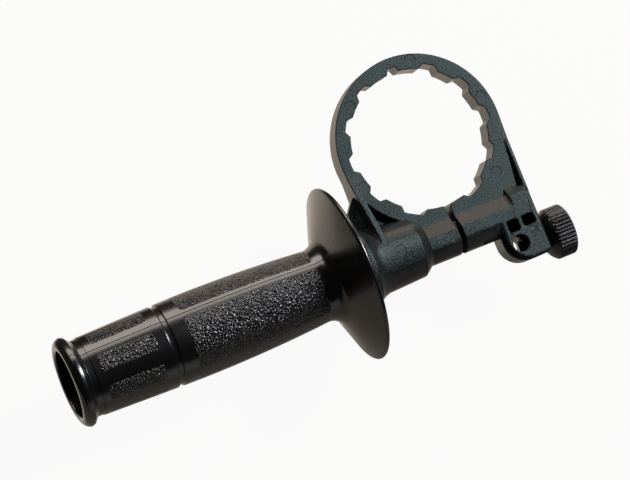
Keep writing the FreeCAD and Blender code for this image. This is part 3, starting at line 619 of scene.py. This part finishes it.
height = addNode(tree, 'Math', {0: sunk, 1: rippled}, operation='ADD').outputs[0]
relief = addNode(tree, 'Bump', {'Height': height, 'Distance': mm, 'Strength': 1.0})
handled = addNode(tree, 'TexNoise', {'Vector': place, 'Scale': poly['wornScale'], 'Detail': 4.0})
smear = addNode(tree, 'MapRange', {'Value': handled.outputs['Fac'], 1: poly['wornRange'][0],
                                   2: poly['wornRange'][1]}).outputs[0]
tint = addNode(tree, 'Mix', {0: smear, 6: toLinear(poly['black']), 7: toLinear(poly['worn'])}, data_type='RGBA')
# painted glints: light specks in the grain's colour stand for the fine glints of the etching
specks = addNode(tree, 'TexNoise', {'Vector': place, 'Scale': 1 / (poly['glintSize'] * mm), 'Detail': 1.0})
lightSpeck = addNode(tree, 'MapRange', {'Value': specks.outputs['Fac'], 1: poly['glintRange'][0],
                                        2: poly['glintRange'][1]}).outputs[0]
speckHere = addNode(tree, 'Math', {0: lightSpeck, 1: grainMask}, operation='MULTIPLY').outputs[0]
tint = addNode(tree, 'Mix', {0: speckHere, 6: tint.outputs[2], 7: toLinear(poly['glint'])}, data_type='RGBA')
gloss = addNode(tree, 'MapRange', {'Value': smear, 3: poly['roughness'],
                                   4: poly['roughness'] + poly['wornRoughness']}).outputs[0]
dull = addNode(tree, 'Mix', {0: panelMask, 2: gloss, 3: poly['panelRoughness']}, data_type='FLOAT')
sheen = addNode(tree, 'Mix', {0: panelMask, 6: (1, 1, 1, 1), 7: toLinear(poly['panelSheen'])}, data_type='RGBA')
body = addNode(tree, 'BsdfPrincipled', {'Base Color': tint.outputs[2], 'Roughness': dull.outputs[0],
                                        'IOR': poly['ior'], 'Specular Tint': sheen.outputs[2],
                                        'Normal': relief.outputs[0]})
addNode(tree, 'OutputMaterial', {'Surface': body.outputs[0]})
dress(gripBody, blackPoly)
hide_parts('grip')
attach(gripBody, 'grip')
print('grip finished')

# knob: black nylon with a coarse knurl moulded in
knob = {
    'flatWithin': 2.0,  # degrees, as the next two
    'edgeAngle': 24,
    'smoothAngle': 36,
    'edge': 0.11,  # mm
    'black': '050506',
    'faded': '0B0B0B',
    'roughness': 0.27,
    'roughnessSpread': (-0.05, 0.09),
    'ior': 1.50,
    'fineScale': 1600.0,  # per metre
    'patchScale': 130.0,
    'grain': 0.02,  # mm
    'grainShare': 0.3,
}
knobBody = copyOfNode('thumb_knob', 'knobMoulding', knob['flatWithin'])
finishWith(knobBody, 'BEVEL', limit_method='ANGLE', angle_limit=radians(knob['edgeAngle']),
           width=knob['edge'] * mm, segments=2, use_clamp_overlap=False)
settle(knobBody, knob['smoothAngle'])
finishWith(knobBody, 'WEIGHTED_NORMAL', keep_sharp=True)
knobNylon, tree = newMaterial('black nylon, moulded')  # harder and shinier than the collar: no glass in it
place = addNode(tree, 'TexCoord').outputs['Object']
fine = addNode(tree, 'TexNoise', {'Vector': place, 'Scale': knob['fineScale'], 'Detail': 3.0})
patch = addNode(tree, 'TexNoise', {'Vector': place, 'Scale': knob['patchScale'], 'Detail': 2.0})
tint = addNode(tree, 'Mix', {0: patch.outputs['Fac'], 6: toLinear(knob['black']), 7: toLinear(knob['faded'])},
               data_type='RGBA')
dull = addNode(tree, 'MapRange', {'Value': fine.outputs['Fac'], 1: noiseLow, 2: noiseHigh,
                                  3: knob['roughness'] + knob['roughnessSpread'][0],
                                  4: knob['roughness'] + knob['roughnessSpread'][1]})
relief = addNode(tree, 'Bump', {'Height': fine.outputs['Fac'], 'Distance': knob['grain'] * mm,
                                'Strength': knob['grainShare']})
body = addNode(tree, 'BsdfPrincipled', {'Base Color': tint.outputs[2], 'Roughness': dull.outputs[0],
                                        'IOR': knob['ior'], 'Normal': relief.outputs[0]})
addNode(tree, 'OutputMaterial', {'Surface': body.outputs[0]})
dress(knobBody, knobNylon)
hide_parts('thumb_knob')
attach(knobBody, 'knob')
print('knob done')

# zinc-plated steel: bright, slightly blue, with the fine cloudiness of the plating
steelLook = {
    'bright': 'B9BDC0',
    'cloud': '8E9397',
    'cloudScale': 420.0,  # per metre
    'roughness': 0.27,
    'roughnessSpread': (-0.06, 0.10),
    'grain': 0.01,  # mm
}
zincSteel, tree = newMaterial('zinc-plated steel, rolled thread')
place = addNode(tree, 'TexCoord').outputs['Object']
plating = addNode(tree, 'TexNoise', {'Vector': place, 'Scale': steelLook['cloudScale'], 'Detail': 4.0})
tint = addNode(tree, 'Mix', {0: plating.outputs['Fac'], 6: toLinear(steelLook['bright']),
                             7: toLinear(steelLook['cloud'])}, data_type='RGBA')
dull = addNode(tree, 'MapRange', {'Value': plating.outputs['Fac'], 1: noiseLow, 2: noiseHigh,
                                  3: steelLook['roughness'] + steelLook['roughnessSpread'][0],
                                  4: steelLook['roughness'] + steelLook['roughnessSpread'][1]})
relief = addNode(tree, 'Bump', {'Height': plating.outputs['Fac'], 'Distance': steelLook['grain'] * mm,
                                'Strength': 0.5})
body = addNode(tree, 'BsdfPrincipled', {'Base Color': tint.outputs[2], 'Metallic': 1.0,
                                        'Roughness': dull.outputs[0], 'Normal': relief.outputs[0]})
addNode(tree, 'OutputMaterial', {'Surface': body.outputs[0]})

# brass inserts: turned, with rings from the tool and the stains of handling; the moulding hides them
brassLook = {
    'bright': 'C9A24E',
    'dull': '8F6B2C',
    'ringScale': 900.0,  # per metre
    'stainScale': 350.0,
    'roughness': 0.33,
    'grain': 0.01,  # mm
}
turnedBrass, tree = newMaterial('free-cutting brass, turned')
place = addNode(tree, 'TexCoord').outputs['Object']
rings = addNode(tree, 'TexWave', {'Vector': place, 'Scale': brassLook['ringScale'], 'Distortion': 1.5},
                bands_direction='X')
stain = addNode(tree, 'TexNoise', {'Vector': place, 'Scale': brassLook['stainScale'], 'Detail': 3.0})
tint = addNode(tree, 'Mix', {0: stain.outputs['Fac'], 6: toLinear(brassLook['bright']),
                             7: toLinear(brassLook['dull'])}, data_type='RGBA')
relief = addNode(tree, 'Bump', {'Height': rings.outputs['Fac'], 'Distance': brassLook['grain'] * mm,
                                'Strength': 0.5})
body = addNode(tree, 'BsdfPrincipled', {'Base Color': tint.outputs[2], 'Metallic': 1.0,
                                        'Roughness': brassLook['roughness'], 'Normal': relief.outputs[0]})
addNode(tree, 'OutputMaterial', {'Surface': body.outputs[0]})
for node in ('nut_insert', 'rod_insert'):
    dress(frame["nodes"][node], turnedBrass)
print('metals ready')


def cutThread(name, size, centreY):
    # one thread flank pair screwed along X, cut square at both ends and closed
    pitch, crest = size['pitch'], size['crest']
    root = crest - 0.6 * pitch  # depth and flats follow the pitch, as in a metric thread
    tooth = [(0, root), (0.125 * pitch, root), (0.45 * pitch, crest), (0.575 * pitch, crest), (0.9 * pitch, root),
             (pitch, root)]
    start = size['from'] - 1.5 * pitch
    piece = drawLine(name, [(start + x, r) for x, r in tooth], centreY)
    closeMesh()
    turns = int((size['to'] - size['from']) / pitch) + 3
    pick(piece)
    bpy.context.scene.cursor.location = (start * mm, centreY * mm, 0)
    bpy.ops.object.origin_set(type='ORIGIN_CURSOR')
    finishWith(piece, 'SCREW', axis='X', angle=2 * pi, screw_offset=pitch * mm, iterations=turns, steps=28,
               render_steps=28, use_merge_vertices=True, merge_threshold=0.000002)
    bpy.ops.object.transform_apply(location=True, rotation=True, scale=True)
    for x, keepUp in ((size['from'], True), (size['to'], False)):
        openMesh(piece)
        bpy.ops.mesh.bisect(plane_co=(x * mm, centreY * mm, 0), plane_no=(1, 0, 0), use_fill=True,
                            clear_inner=keepUp, clear_outer=not keepUp)
        closeMesh()
    tidyMesh(piece)
    return piece


# thumb screw's stud: its threaded tip shows inside the rod hole
stud = {'pitch': 0.8, 'crest': 2.46, 'from': 22.95, 'to': 36.0}  # mm
studBody = cutThread('studThread', stud, thumbY)
settle(studBody)
dress(studBody, zincSteel)
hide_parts('thumb_stud')
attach(studBody, 'stud')

# clamp screw: hexagon head in the grip, plain shank, and the thread seen in the slit
screw = {  # mm and degrees
    'pitch': 1.25, 'crest': 3.97, 'from': -22.0, 'to': 15.0, 'shankFrom': -70.5, 'shankTo': -21.5,
    'headX': -70.0, 'headT': 5.3, 'acrossFlats': 13.0, 'edge': 0.35, 'edgeAngle': 50,
}
shankLen = screw['shankTo'] - screw['shankFrom']
screwBody = cutThread('screwThread', screw, axisY)
letGo()
bpy.ops.mesh.primitive_cylinder_add(vertices=48, radius=screw['crest'] * mm, depth=shankLen * mm,
                                    location=((screw['shankFrom'] + shankLen / 2) * mm, axisY * mm, 0),
                                    rotation=(0, radians(90), 0))
shank = bpy.context.object
letGo()
bpy.ops.mesh.primitive_cylinder_add(vertices=6, radius=screw['acrossFlats'] / 2 / cos(radians(30)) * mm,
                                    depth=screw['headT'] * mm, rotation=(0, radians(90), 0),
                                    location=((screw['headX'] - screw['headT'] / 2) * mm, axisY * mm, 0))
head = bpy.context.object
finishWith(head, 'BEVEL', limit_method='ANGLE', angle_limit=radians(screw['edgeAngle']),
           width=screw['edge'] * mm, segments=3)
letGo()
for piece in (head, shank, screwBody):
    piece.select_set(True)
bpy.context.view_layer.objects.active = screwBody
bpy.ops.object.join()
settle(screwBody)
dress(screwBody, zincSteel)
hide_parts('clamp_screw')
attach(screwBody, 'grip')

# thrust washer, stamped: its edges rounded, in mm and degrees
washer = {'x': -43.05, 't': 1.6, 'r': 14.0, 'hole': 4.1, 'edge': 0.25, 'edgeAngle': 50, 'steps': 128}
nearX, farX = washer['x'], washer['x'] + washer['t']
ring = [(nearX, washer['hole']), (nearX, washer['r']), (farX, washer['r']), (farX, washer['hole']),
        (nearX, washer['hole'])]
washerBody = turnSolid('thrustWasher', ring, axisY, washer['steps'])
finishWith(washerBody, 'BEVEL', limit_method='ANGLE', angle_limit=radians(washer['edgeAngle']),
           width=washer['edge'] * mm, segments=3)
settle(washerBody)
dress(washerBody, zincSteel)
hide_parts('thrust_washer')
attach(washerBody, 'washer')
print('screws and washer done')
